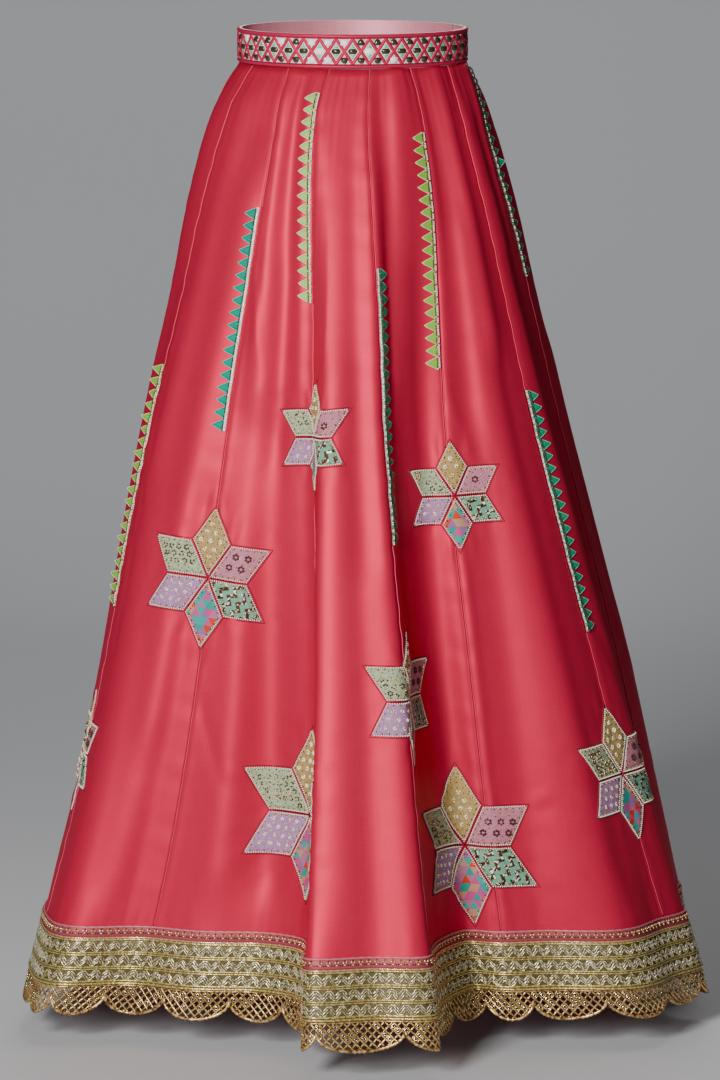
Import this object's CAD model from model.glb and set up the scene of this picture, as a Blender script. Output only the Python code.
"""Looks of a flared lehenga skirt: silk kalis, patchwork stars, saw-tooth trims, a mirror-work band,
a rose and gold hem and a scalloped net lace.

Metres, +Z up, the front of the skirt towards -Y. Every piece of cloth lies on one surface: gore
position g runs round the skirt (a whole number is a seam) and drop runs down from the lower edge
of the waistband.
"""

import math

import bpy
import numpy as np
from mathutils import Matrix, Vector


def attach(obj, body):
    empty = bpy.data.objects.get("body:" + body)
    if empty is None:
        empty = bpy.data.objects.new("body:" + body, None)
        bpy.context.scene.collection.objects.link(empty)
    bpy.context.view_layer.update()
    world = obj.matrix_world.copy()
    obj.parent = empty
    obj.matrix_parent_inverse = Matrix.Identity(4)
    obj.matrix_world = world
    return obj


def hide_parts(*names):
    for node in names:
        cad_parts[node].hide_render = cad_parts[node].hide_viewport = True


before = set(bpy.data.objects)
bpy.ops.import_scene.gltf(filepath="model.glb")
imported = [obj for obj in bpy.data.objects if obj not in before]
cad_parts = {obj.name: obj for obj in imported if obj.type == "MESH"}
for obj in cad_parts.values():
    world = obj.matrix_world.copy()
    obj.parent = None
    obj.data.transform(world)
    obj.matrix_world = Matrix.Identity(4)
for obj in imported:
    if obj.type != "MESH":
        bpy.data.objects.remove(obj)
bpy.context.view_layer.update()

# Camera: where the photograph was taken from
CAMERA_PLACE = (0.008, -6.0, 0.2)
CAMERA_PITCH_DOWN = 7.008
LENS_MM = 185.37

# The skirt's sizes, the same as in the CAD source
GORES = 14
BAND_HEIGHT = 0.036
BAND_WALL = 0.003
PIPING = 0.004
WAIST_TILT = 0.053
CLOTH_LENGTH = 0.980
CLOTH_WALL = 0.002
SEAM_GAP = 0.0003
ROSE_TRIM = (0.9145, 0.9280)
GOLD_BORDER = (0.9280, CLOTH_LENGTH)
LACE_NOTCH = 0.0095
LACE_DEPTH = 0.031
SCALLOPS = 42
SCALLOP_PHASE = 0.147
TOOTH_PITCH = 0.0133
TOOTH_LENGTH = 0.011
TRIM_LINE = 0.004
SEAM_OFFSET = 0.0015
FRONT_SEAM = 3
FRONT_SEAM_BEARING = 10.7
FOLD_GROWTH = 1.3
WAIST_SHIFT_FALL = 0.10
PLACKET = (0.006, 0.165)
PLACKET_WIDTH = 0.022
CLOSING_SEAM = 7

# Flat length of the cloth for each metre of drop, and flat length of one kali
CLOTH_RUN = 1.06
# Points of a kali's grid down and across, and of its pressed edge
KALI_ROWS = 125
KALI_COLUMNS = 37
EDGE_POINTS = 70

# One row for each level: drop, half width, half depth, sideways sway
SECTIONS = np.array((
    (0.000, 0.1220, 0.095, 0.000),
    (0.035, 0.1420, 0.113, -0.002),
    (0.075, 0.1560, 0.128, -0.002),
    (0.140, 0.1740, 0.149, -0.001),
    (0.240, 0.1950, 0.176, 0.000),
    (0.370, 0.2240, 0.208, 0.000),
    (0.500, 0.2530, 0.240, 0.004),
    (0.640, 0.2830, 0.270, 0.010),
    (0.800, 0.3180, 0.303, 0.013),
    (0.980, 0.3640, 0.342, 0.014),
))

# One row for each ridge, flank or hollow: gore position, bearing at the hem (deg from the front),
# set back from the section's line at the hem (m), shift of the bearing at mid height and near the
# waist (deg)
FOLDS = np.array((
    (0.00, -76.2, -0.009, -2.2, 1.0),
    (0.45, -64.8, -0.012, 0.4, 1.7),
    (1.00, -56.5, 0.068, 4.1, 2.7),
    (1.28, -45.2, 0.089, 3.4, 0.7),
    (1.62, -31.1, 0.121, 3.6, -1.2),
    (2.00, -15.8, 0.093, 3.0, -3.3),
    (2.20, -12.0, 0.042, 0.9, -2.3),
    (2.42, -10.1, -0.012, -2.2, -1.8),
    (2.70, 1.5, 0.001, -2.2, -1.8),
    (2.96, 12.0, -0.001, -2.1, -2.2),
    (3.12, 13.8, 0.036, -3.2, -1.3),
    (3.45, 21.8, 0.104, -7.0, -0.1),
    (3.70, 32.3, 0.136, -7.6, 1.0),
    (4.00, 38.9, 0.106, -6.0, 2.3),
    (4.28, 47.8, 0.081, -3.0, 0.2),
    (4.62, 58.3, 0.017, -4.1, -1.7),
    (4.95, 71.3, 0.010, -5.3, -4.2),
    (5.25, 80.9, -0.006, -3.8, -5.8),
    (5.60, 89.7, 0.041, -4.5, -8.4),
    (6.00, 99.6, 0.009, -5.9, -13.0),
    (6.45, 110.8, -0.013, -4.8, -10.6),
    (6.80, 113.0, 0.072, 0.0, -6.0),
    (7.25, 121.0, 0.064, 0.0, -2.0),
    (7.62, 129.0, -0.016, 0.0, 0.0),
    (8.05, 138.0, -0.012, 0.0, 0.0),
    (8.42, 146.0, 0.062, 0.0, 0.0),
    (8.80, 154.0, 0.064, 0.0, 0.0),
    (9.22, 161.0, -0.006, 0.0, 0.0),
    (9.70, 173.0, -0.010, 0.0, 0.0),
    (10.06, 182.0, 0.055, 0.0, 0.0),
    (10.42, 191.0, 0.062, 0.0, 0.0),
    (10.85, 199.0, -0.008, 0.0, 0.0),
    (11.25, 209.0, -0.016, 0.0, 0.0),
    (11.65, 217.0, 0.054, 0.0, 0.0),
    (12.05, 227.0, 0.060, 0.0, 0.0),
    (12.45, 234.0, -0.004, 0.0, 0.0),
    (12.90, 246.0, -0.012, 0.0, 0.0),
    (13.30, 255.5, 0.036, 0.0, 0.0),
    (13.65, 263.0, 0.010, -2.0, 0.4),
))

# One row for each saw-tooth trim: seam, top drop, teeth, side the teeth point to, cloth
TRIMS = (
    (0, 0.320, 20, -1, "lime"),
    (1, 0.146, 18, -1, "teal"),
    (2, 0.025, 17, -1, "light_lime"),
    (3, 0.207, 22, 1, "mint"),
    (4, 0.067, 19, -1, "lime"),
    (5, 0.344, 20, 1, "mint"),
    (6, 0.006, 18, 1, "mint"),
    (7, 0.230, 19, -1, "light_lime"),
    (8, 0.085, 18, -1, "teal"),
    (9, 0.290, 20, 1, "lime"),
    (10, 0.040, 18, -1, "mint"),
    (11, 0.240, 20, 1, "teal"),
    (12, 0.060, 18, -1, "lime"),
    (13, 0.180, 19, 1, "mint"),
)

# One row for each star: seam, sideways offset along the cloth, drop of the centre, tip radius,
# how far its right side leans down
STARS = (
    (0, -0.022, 0.741, 0.0720, 0.00),
    (1, 0.000, 0.539, 0.0781, 0.11),
    (2, 0.012, 0.384, 0.0604, -0.07),
    (2, -0.009, 0.785, 0.0945, 0.00),
    (3, 0.018, 0.655, 0.0752, 0.02),
    (4, 0.004, 0.450, 0.0607, -0.03),
    (4, -0.028, 0.824, 0.0892, 0.01),
    (5, -0.001, 0.757, 0.0784, -0.04),
    (8, 0.000, 0.430, 0.0630, 0.00),
    (7, -0.030, 0.815, 0.0760, 0.00),
    (7, 0.000, 0.610, 0.0710, 0.00),
    (8, 0.000, 0.812, 0.0830, 0.00),
    (9, 0.000, 0.690, 0.0740, 0.00),
    (10, 0.000, 0.420, 0.0620, 0.00),
    (10, 0.000, 0.805, 0.0820, 0.00),
    (11, 0.000, 0.640, 0.0720, 0.00),
    (12, 0.000, 0.810, 0.0830, 0.00),
    (13, 0.000, 0.590, 0.0710, 0.00),
)

# Folds and creases that the cloth has on top of the skirt's main folds, one row for each:
# gore position and drop at its top, the same at its foot, height (m, a hollow is negative), half width (m)
CREASES = np.array((
    (-0.42, 0.05, -0.30, 0.90, 0.0045, 0.022),
    (-0.20, 0.22, -0.12, 0.84, -0.0030, 0.014),
    (0.13, 0.26, 0.17, 0.58, 0.0020, 0.006),
    (0.16, 0.30, 0.19, 0.62, -0.0014, 0.006),
    (0.33, 0.02, 0.28, 0.44, 0.0030, 0.013),
    (0.52, 0.05, 0.55, 0.90, -0.0040, 0.020),
    (0.70, 0.12, 0.74, 0.72, 0.0032, 0.016),
    (0.86, 0.44, 0.82, 0.91, -0.0022, 0.011),
    (1.22, 0.00, 1.20, 0.30, 0.0028, 0.011),
    (1.35, 0.20, 1.33, 0.88, 0.0036, 0.017),
    (1.50, 0.00, 1.54, 0.42, -0.0030, 0.012),
    (1.76, 0.00, 1.80, 0.36, 0.0026, 0.010),
    (1.90, 0.40, 1.92, 0.92, -0.0024, 0.012),
    (2.20, 0.06, 2.26, 0.62, 0.0030, 0.014),
    (2.38, 0.00, 2.46, 0.90, -0.0034, 0.018),
    (2.58, 0.30, 2.62, 0.93, 0.0026, 0.015),
    (2.76, 0.00, 2.78, 0.52, -0.0026, 0.012),
    (3.10, 0.10, 3.10, 0.64, 0.0024, 0.010),
    (3.28, 0.00, 3.30, 0.34, -0.0030, 0.012),
    (3.40, 0.28, 3.42, 0.92, 0.0034, 0.016),
    (3.62, 0.00, 3.64, 0.46, 0.0030, 0.013),
    (3.80, 0.20, 3.82, 0.90, -0.0036, 0.018),
    (4.06, 0.52, 4.05, 0.92, 0.0014, 0.004),
    (4.20, 0.00, 4.22, 0.38, -0.0028, 0.011),
    (4.38, 0.16, 4.40, 0.92, 0.0040, 0.019),
    (4.62, 0.00, 4.64, 0.30, 0.0026, 0.010),
    (4.74, 0.30, 4.76, 0.88, -0.0030, 0.015),
    (5.18, 0.04, 5.16, 0.50, 0.0030, 0.012),
    (5.42, 0.20, 5.44, 0.92, -0.0036, 0.017),
    (5.68, 0.00, 5.66, 0.44, 0.0028, 0.012),
    (5.84, 0.50, 5.82, 0.93, 0.0024, 0.012),
    (6.20, 0.02, 6.24, 0.60, -0.0030, 0.014),
    (6.46, 0.30, 6.44, 0.93, 0.0034, 0.018),
    (6.70, 0.00, 6.72, 0.40, 0.0026, 0.011),
    (7.20, 0.20, 7.18, 0.70, -0.0026, 0.012),
    (7.44, 0.05, 7.50, 0.90, 0.0038, 0.018),
    (7.78, 0.00, 7.76, 0.38, -0.0028, 0.012),
    (8.22, 0.10, 8.24, 0.66, 0.0030, 0.014),
    (8.52, 0.30, 8.48, 0.92, -0.0034, 0.017),
    (8.76, 0.00, 8.78, 0.44, 0.0026, 0.011),
    (9.16, 0.00, 9.18, 0.52, -0.0030, 0.013),
    (9.46, 0.24, 9.48, 0.93, 0.0036, 0.018),
    (9.80, 0.05, 9.78, 0.58, 0.0026, 0.012),
    (10.24, 0.12, 10.26, 0.90, -0.0034, 0.017),
    (10.56, 0.00, 10.54, 0.42, 0.0030, 0.012),
    (10.80, 0.40, 10.82, 0.93, 0.0024, 0.013),
    (11.18, 0.00, 11.20, 0.36, -0.0026, 0.011),
    (11.44, 0.18, 11.42, 0.88, 0.0038, 0.018),
    (11.74, 0.04, 11.76, 0.62, -0.0028, 0.013),
    (12.22, 0.00, 12.24, 0.48, 0.0028, 0.012),
    (12.50, 0.26, 12.52, 0.92, -0.0034, 0.018),
    (12.82, 0.10, 12.80, 0.60, 0.0030, 0.013),
    (13.14, 0.00, 13.16, 0.40, -0.0026, 0.011),
    (13.36, 0.30, 13.38, 0.93, 0.0036, 0.017),
    # The deep soft hollow at the left of the front fold
    (1.36, 0.36, 1.66, 0.88, -0.0070, 0.026),
    # Pulls that run aslant from the seams and from the appliqué
    (0.04, 0.37, 0.30, 0.47, 0.0011, 0.005),
    (0.05, 0.46, 0.24, 0.55, -0.0010, 0.005),
    (0.78, 0.64, 0.98, 0.56, 0.0012, 0.005),
    (1.03, 0.20, 1.28, 0.30, 0.0012, 0.005),
    (1.02, 0.66, 1.30, 0.76, -0.0012, 0.006),
    (1.72, 0.16, 1.98, 0.09, 0.0010, 0.004),
    (2.05, 0.44, 2.30, 0.56, 0.0011, 0.005),
    (2.66, 0.42, 2.97, 0.30, 0.0010, 0.005),
    (3.03, 0.36, 3.22, 0.50, -0.0010, 0.005),
    (3.74, 0.22, 3.97, 0.13, 0.0012, 0.005),
    (4.03, 0.33, 4.26, 0.44, 0.0011, 0.005),
    (4.70, 0.48, 4.97, 0.40, 0.0012, 0.005),
    (5.04, 0.56, 5.26, 0.68, -0.0011, 0.005),
    (5.76, 0.24, 5.97, 0.14, 0.0010, 0.004),
    (6.03, 0.56, 6.30, 0.66, 0.0012, 0.005),
    (7.70, 0.50, 7.96, 0.40, 0.0011, 0.005),
    (8.04, 0.36, 8.30, 0.50, -0.0011, 0.005),
    (9.66, 0.52, 9.96, 0.42, 0.0012, 0.005),
    (10.04, 0.56, 10.30, 0.68, 0.0011, 0.005),
    (11.70, 0.44, 11.96, 0.36, -0.0010, 0.005),
    (12.05, 0.42, 12.30, 0.56, 0.0012, 0.005),
    (12.70, 0.68, 12.96, 0.60, 0.0011, 0.005),
))

# Width of one kali at the waist and at the hem, along the cloth
KALI_WIDTHS = (0.049, 0.187)

# How far the tips of a trim's teeth stand off the cloth; at the wearer's right hip they stand free
TIP_STANDS = {0: 0.0068, 6: 0.0016, 7: 0.0016}
# One tooth of the trim on the wearer's left hip is flicked up, its tip this far off the cloth
FLICKED_TOOTH = (6, 8)
FLICK = 0.0060

SEED = 14


def hermite(stations, values, at):
    """Smooth curve through the rows of a table, read at the given places."""
    slopes = np.gradient(values, stations, axis=0)
    row = np.clip(np.searchsorted(stations, at, side="right") - 1, 0, len(stations) - 2)
    span = (stations[row + 1] - stations[row])[..., None]
    t = (at - stations[row])[..., None] / span
    start = (2 * t**3 - 3 * t**2 + 1) * values[row] + (t**3 - 2 * t**2 + t) * span * slopes[row]
    end = (3 * t**2 - 2 * t**3) * values[row + 1] + (t**3 - t**2) * span * slopes[row + 1]
    return start + end


def fold_values(g):
    """Bearing, set back and the two shifts at gore positions, the same after each full turn."""
    turn_step = np.array([GORES, 360.0, 0.0, 0.0, 0.0])
    rows = np.concatenate([FOLDS[-3:] - turn_step, FOLDS, FOLDS[:3] + turn_step])
    turn = np.floor(g / GORES)
    values = hermite(rows[:, 0], rows[:, 1:], g - turn * GORES)
    values[..., 0] += 360 * turn
    return values


def near_waist(fall):
    """How much of a fold's shift near the waist applies: none at the band, all of it a hand below."""
    reach = fall / WAIST_SHIFT_FALL
    return reach * np.exp(1 - reach)


def cloth_point(g, drop):
    """Point of the skirt's plain outer surface with its main folds."""
    g, drop = np.broadcast_arrays(np.asarray(g, float), np.asarray(drop, float))
    section = hermite(SECTIONS[:, 0], SECTIONS[:, 1:], drop)
    half_width, half_depth, sway = section[..., 0], section[..., 1], section[..., 2]
    fold = fold_values(g)
    fall = drop / CLOTH_LENGTH
    at_waist = FRONT_SEAM_BEARING + (g - FRONT_SEAM) * 360 / GORES
    bearing = at_waist + (fold[..., 0] - at_waist) * fall + fold[..., 2] * 4 * fall * (1 - fall)
    bearing = bearing + fold[..., 3] * near_waist(fall)
    sine, cosine = np.sin(np.radians(bearing)), np.cos(np.radians(bearing))
    reach = half_width * half_depth / np.hypot(half_depth * sine, half_width * cosine)
    reach = reach - fold[..., 1] * np.clip(fall, 0, None) ** FOLD_GROWTH
    y = -reach * cosine
    z = -BAND_HEIGHT / 2 - drop + WAIST_TILT * y * (1 - fall) ** 2
    return np.stack([reach * sine + sway, y, z], -1)


def cloth_normal(g, drop):
    """Unit normal of the plain surface, facing out."""
    side = 0.01
    across = cloth_point(g + side, drop) - cloth_point(g - side, drop)
    above, below = np.maximum(drop - side, 0), np.minimum(drop + side, CLOTH_LENGTH)
    normal = np.cross(cloth_point(g, below) - cloth_point(g, above), across)
    return normal / np.linalg.norm(normal, axis=-1, keepdims=True)


def kali_width(drop):
    """Width of one kali along the cloth at a drop."""
    return KALI_WIDTHS[0] + (KALI_WIDTHS[1] - KALI_WIDTHS[0]) * drop / CLOTH_LENGTH


def star_pucker(g, drop, seam, offset, centre, radius):
    """Short pulls in the silk that run out from a star's stitched edge."""
    away = ((g - seam + GORES / 2) % GORES - GORES / 2) * kali_width(drop) - offset
    down = (drop - centre) * CLOTH_RUN
    reach = np.hypot(away, down)
    turn = np.arctan2(away, -down)
    # The star's edge lies between its inner corners and its tips
    edge = radius * (0.58 + 0.42 * np.abs(np.cos(3 * turn)) ** 3)
    past = (reach - edge) / radius
    pull = np.sin(turn * 19 + seam * 2.0) + 0.7 * np.sin(turn * 31 + centre * 40)
    return 0.0010 * pull * np.exp(-(past / 0.20) ** 2) * np.clip(past / 0.08 - 0.5, 0, 1)


def crease_height(g, drop):
    """How far the cloth's own folds, pulls, gathers and seams stand out of the plain surface."""
    width = kali_width(drop)
    height = np.zeros(np.shape(g))
    for top_g, top, foot_g, foot, tall, half in CREASES:
        along = np.clip((drop - top) / (foot - top), -0.3, 1.3)
        middle = top_g + (foot_g - top_g) * along
        away = (g - middle + GORES / 2) % GORES - GORES / 2
        slant = (foot_g - top_g) * width / (foot - top)
        away = away * width / np.hypot(1, slant)
        fade = np.clip((drop - top) / 0.06 + 0.5, 0, 1) * np.clip((foot - drop) / 0.06 + 0.5, 0, 1)
        height = height + tall * fade * fade * (3 - 2 * fade) * np.exp(-(away / half) ** 2)
    # Small gathers where the kalis are eased into the band, fading over the first hand's width
    gather = np.sin(g * 23.7 + 1.3 * np.sin(g * 5.1)) + 0.6 * np.sin(g * 41.3 + 2.0)
    height = height + 0.0003 * gather * np.exp(-drop / 0.045) * np.clip(drop / 0.01, 0, 1)
    # The seams are pressed in, with small puckers along them
    seam = (np.round(g) - g) * width
    height = height - 0.0012 * np.exp(-np.abs(seam) / 0.0022)
    height = height + np.where(seam < 0, 0.0005, -0.0002) * np.exp(-((np.abs(seam) - 0.005) / 0.004) ** 2)
    ripple = np.sin(drop * 190 + 60 * np.abs(seam) + np.round(g) * 1.7) * np.sin(drop * 47 + np.round(g))
    height = height + 0.0006 * ripple * np.exp(-np.abs(seam) / 0.020)
    for star_seam, offset, centre, radius, _ in STARS:
        height = height + star_pucker(g, drop, star_seam, offset, centre, radius)
    # The stiff border holds the hem smoother; its stitching draws short puckers over it
    calm = np.clip((drop - 0.85) / 0.08, 0, 1)
    over = ROSE_TRIM[0] - drop
    pucker = np.sin(g * 61 + 3 * np.sin(g * 7)) + 0.7 * np.sin(g * 97 + 2 * np.sin(g * 11))
    pucker = pucker * np.exp(-np.abs(over) / 0.020) * (over > 0)
    return height * (1 - 0.75 * calm) + 0.0006 * pucker


def dressed_point(g, drop, lift=0.0):
    """Point of the creased cloth, at a height over it."""
    height = crease_height(g, drop) + lift
    return cloth_point(g, drop) + cloth_normal(g, drop) * height[..., None]


def gore_position(seam, sideways, drop):
    """Gore position of points a flat distance from a seam, measured along the cloth."""
    sideways, drop = np.broadcast_arrays(sideways, drop)
    reach = np.linspace(-1.3, 1.3, 131)
    line = cloth_point(seam + reach, drop[:, None])
    run = np.cumsum(np.linalg.norm(np.diff(line, axis=1), axis=-1), axis=1)
    run = np.insert(run, 0, 0.0, axis=1)
    run -= run[:, len(reach) // 2][:, None]
    after = (run < sideways[:, None]).sum(1).clip(1, len(reach) - 1)
    rows = np.arange(len(drop))
    low, high = run[rows, after - 1], run[rows, after]
    share = (sideways - low) / (high - low)
    return seam + reach[after - 1] + share * (reach[1] - reach[0])


def drop_from(seam, drop, down):
    """Drop of points a flat distance down the seam from a given drop."""
    levels = np.linspace(0, CLOTH_LENGTH, 99)
    line = cloth_point(np.full(len(levels), float(seam)), levels)
    run = np.concatenate([[0], np.cumsum(np.linalg.norm(np.diff(line, axis=0), axis=1))])
    return np.interp(np.interp(drop, levels, run) + down, run, levels)


def along_seam(seam, top, sideways, down, lift):
    """Points laid on the cloth beside a seam: distances across and down from a drop, lifted off it."""
    sideways, down, lift = np.broadcast_arrays(sideways, down, lift)
    drop = drop_from(seam, top, down.ravel())
    g = gore_position(seam, sideways.ravel(), drop)
    return dressed_point(g, drop, lift.ravel()).reshape(*down.shape, 3)


def hem_lengths():
    """Gore positions all round the hem and their distances along the border."""
    g = np.linspace(0, GORES, GORES * 60 + 1)
    line = cloth_point(g, 0.955)
    run = np.concatenate([[0], np.cumsum(np.linalg.norm(np.diff(line, axis=0), axis=1))])
    return g, run


HEM_GORES, HEM_RUN = hem_lengths()
HEM_ROUND = HEM_RUN[-1]


def at_hem(distance):
    """Gore position at a distance along the hem."""
    return np.interp(distance % HEM_ROUND, HEM_RUN, HEM_GORES)


def band_point(bearing, height, thickness):
    """Point of the waistband: upright on the waist's oval, tilted a little down at the front."""
    x = (SECTIONS[0][1] + thickness) * np.sin(np.radians(bearing))
    y = -(SECTIONS[0][2] + thickness) * np.cos(np.radians(bearing))
    return np.stack([x, y, height + WAIST_TILT * y + 0 * x], -1)


CLOSING_BEARING = FRONT_SEAM_BEARING + (CLOSING_SEAM - FRONT_SEAM) * 360 / GORES


def band_lengths():
    """Bearings from the closing all round the band and their distances along it."""
    bearing = np.linspace(CLOSING_BEARING, CLOSING_BEARING + 360, 721)
    line = band_point(bearing, 0.0, 0.0)
    run = np.concatenate([[0], np.cumsum(np.linalg.norm(np.diff(line, axis=0), axis=1))])
    return bearing, run


BAND_BEARINGS, BAND_RUN = band_lengths()
BAND_ROUND = BAND_RUN[-1]


def on_band(distance, height, lift):
    """Point of the waistband at a distance from its closing, a height and a lift."""
    return band_point(np.interp(distance, BAND_RUN, BAND_BEARINGS), height, lift)


def linear(hex_colour):
    """Linear red, green, blue and alpha of an sRGB hex colour."""
    values = [int(hex_colour[i:i + 2], 16) / 255 for i in (1, 3, 5)]
    return (*[v / 12.92 if v <= 0.04045 else ((v + 0.055) / 1.055) ** 2.4 for v in values], 1.0)


def add(tree, kind, sockets, **settings):
    """Add one node with its settings; each socket takes a value or another node's output."""
    node = tree.nodes.new("ShaderNode" + kind)
    for name, value in settings.items():
        setattr(node, name, value)
    for name, value in sockets.items():
        socket = node.inputs[name]
        if isinstance(value, bpy.types.NodeSocket):
            tree.links.new(value, socket)
        elif isinstance(value, str):
            socket.default_value = linear(value)
        else:
            socket.default_value = value
    return node


def start_material(name, **values):
    """A new material, its node tree, its shader, and the cloth's flat coordinates in metres."""
    material = bpy.data.materials.new(name)
    material.use_nodes = True
    tree = material.node_tree
    shader = tree.nodes["Principled BSDF"]
    for socket, value in values.items():
        socket = socket.replace("_", " ").title().replace("Ior", "IOR")
        shader.inputs[socket].default_value = linear(value) if isinstance(value, str) else value
    flat = add(tree, "UVMap", {}, uv_map="flat")
    return material, tree, shader, flat.outputs["UV"]


def stretched(tree, flat, across, down):
    """The flat coordinates counted in steps of the given sizes, in metres."""
    scaled = add(tree, "VectorMath", {0: flat, 1: (1 / across, 1 / down, 1)}, operation="MULTIPLY")
    return scaled.outputs[0]


def cloth_noise(tree, flat, across, down, detail=2.0):
    """Noise over the flat cloth, in lumps of the given sizes in metres."""
    sockets = {"Vector": stretched(tree, flat, across, down), "Scale": 1.0, "Detail": detail}
    return add(tree, "TexNoise", sockets).outputs["Fac"]


def ranged(tree, value, low, high, least=0.0, most=1.0):
    """A value spread between two ends as it goes from low to high."""
    sockets = {"Value": value, "From Min": low, "From Max": high, "To Min": least, "To Max": most}
    return add(tree, "MapRange", sockets).outputs[0]


def blend(tree, share, first, second, how="MIX"):
    """Two colours mixed by a share."""
    sockets = {"Factor": share, "A": first, "B": second}
    return add(tree, "Mix", sockets, data_type="RGBA", blend_type=how).outputs["Result"]


def sums(tree, operation, *values):
    """One step of arithmetic on sockets and numbers."""
    return add(tree, "Math", dict(enumerate(values)), operation=operation).outputs[0]


def set_bump(tree, shader, height, distance):
    """Raise the surface by a height that goes from 0 to 1 over the distance."""
    bump = add(tree, "Bump", {"Height": height, "Distance": distance, "Strength": 1.0})
    tree.links.new(bump.outputs["Normal"], shader.inputs["Normal"])


def silk(name, light, dark, gleam, roughness=0.50, metallic=0.34):
    """Silk taffeta, plain woven and calendered: slubbed threads, a broad gloss in the thread's colour."""
    material, tree, shader, flat = start_material(name, roughness=roughness, specular_ior_level=0.15,
                                                  specular_tint=gleam, metallic=metallic)
    # Thread slubs: weft 1.3 mm by 22 mm, warp 1.1 mm by 30 mm, coarser than life to show
    weft = cloth_noise(tree, flat, 0.022, 0.0013)
    warp = cloth_noise(tree, flat, 0.0011, 0.030)
    threads = sums(tree, "ADD", weft, warp)
    # Larger patches of tone make the cloth a little uneven, as in hand-loomed silk
    cloudy = cloth_noise(tree, flat, 0.07, 0.22, 3.0)
    uneven = sums(tree, "MULTIPLY_ADD", cloudy, 0.8, threads)
    base = blend(tree, ranged(tree, uneven, 0.95, 1.85), dark, light)
    tree.links.new(base, shader.inputs["Base Color"])
    set_bump(tree, shader, threads, 0.000008)
    return material


def thread_work(name, light, dark, metallic, roughness, pitch=0.0012):
    """Zari and bead thread laid side by side: short bright and dark turns, a metal gleam."""
    material, tree, shader, flat = start_material(name, metallic=metallic, roughness=roughness)
    speck = cloth_noise(tree, flat, pitch, pitch, 3.0)
    tone = blend(tree, ranged(tree, speck, 0.38, 0.62), dark, light)
    tree.links.new(tone, shader.inputs["Base Color"])
    set_bump(tree, shader, speck, 0.00035)
    return material


def petal_cloth(name, ground, shade, motif, pattern, metallic, sizes):
    """Brocade patch of a star: a slubbed ground with woven or foil motifs of dots or zigzags."""
    material, tree, shader, flat = start_material(name, roughness=0.6, specular_ior_level=0.2)
    across, down, dot = sizes
    cell = stretched(tree, flat, across, down)
    if pattern == "zigzag":
        parts = add(tree, "SeparateXYZ", {"Vector": cell})
        swing = sums(tree, "PINGPONG", parts.outputs["X"], 0.5)
        place = sums(tree, "ADD", parts.outputs["Y"], swing)
        mark = ranged(tree, sums(tree, "PINGPONG", place, 0.5), 0.24, 0.32)
    else:
        inside = add(tree, "VectorMath", {0: cell}, operation="FRACTION")
        middle = add(tree, "VectorMath", {0: inside.outputs[0], 1: (0.5, 0.5, 0)}, operation="SUBTRACT")
        away = add(tree, "VectorMath", {0: middle.outputs[0]}, operation="LENGTH")
        mark = ranged(tree, away.outputs["Value"], dot + 0.06, dot - 0.04)
    slub = cloth_noise(tree, flat, 0.0012, 0.006, 3.0)
    base = blend(tree, ranged(tree, slub, 0.35, 0.65), shade, ground)
    # The foil of the motifs is bright where it catches the light and dull beside it
    glint = ranged(tree, cloth_noise(tree, flat, 0.004, 0.003), 0.55, 0.60)
    foil = blend(tree, glint, motif, "#F4ECDC")
    tree.links.new(blend(tree, mark, base, foil), shader.inputs["Base Color"])
    tree.links.new(sums(tree, "MULTIPLY", mark, metallic), shader.inputs["Metallic"])
    set_bump(tree, shader, mark, 0.0004)
    return material


def patchwork_cloth():
    """Petal pieced from small triangles of teal, pink, mauve, peach and red-orange silk."""
    material, tree, shader, flat = start_material("pieced_silk_triangles", roughness=0.6,
                                                  specular_ior_level=0.2)
    parts = add(tree, "SeparateXYZ", {"Vector": stretched(tree, flat, 0.0105, 0.0091)})
    skewed = sums(tree, "MULTIPLY_ADD", parts.outputs["Y"], 0.5, parts.outputs["X"])
    column, row = sums(tree, "FLOOR", skewed), sums(tree, "FLOOR", parts.outputs["Y"])
    across, down = sums(tree, "FRACT", skewed), sums(tree, "FRACT", parts.outputs["Y"])
    both = sums(tree, "GREATER_THAN", across, down)
    place = add(tree, "CombineXYZ", {"X": column, "Y": row, "Z": both})
    pick = add(tree, "TexWhiteNoise", {"Vector": place.outputs[0]})
    ramp = add(tree, "ValToRGB", {"Fac": pick.outputs["Value"]})
    ramp.color_ramp.interpolation = "CONSTANT"
    colours = ("#21877D", "#B84078", "#8A5A88", "#B07E62", "#C23008", "#2E9288", "#A46480")
    for i, colour in enumerate(colours):
        stop = ramp.color_ramp.elements[i] if i < 2 else ramp.color_ramp.elements.new(i / len(colours))
        stop.position = i / len(colours)
        stop.color = linear(colour)
    tree.links.new(ramp.outputs["Color"], shader.inputs["Base Color"])
    set_bump(tree, shader, down, 0.0004)
    return material


def plain_finish(name, colour, roughness, metallic=0.0, grain=0.0008, depth=0.00012):
    """A small hard or felted part in one colour, with a fine unevenness of tone and surface."""
    material, tree, shader, _ = start_material(name, roughness=roughness, metallic=metallic)
    place = add(tree, "TexCoord", {})
    sockets = {"Vector": place.outputs["Object"], "Scale": 1 / grain, "Detail": 2.0}
    speck = add(tree, "TexNoise", sockets).outputs["Fac"]
    tone = blend(tree, 1.0, colour, ranged(tree, speck, 0.3, 0.7, 0.80, 1.0), "MULTIPLY")
    tree.links.new(tone, shader.inputs["Base Color"])
    set_bump(tree, shader, speck, depth)
    return material


RASPBERRY_SILK = silk("raspberry_silk_taffeta", "#BF2643", "#B8203D", "#FF7C94")
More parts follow.
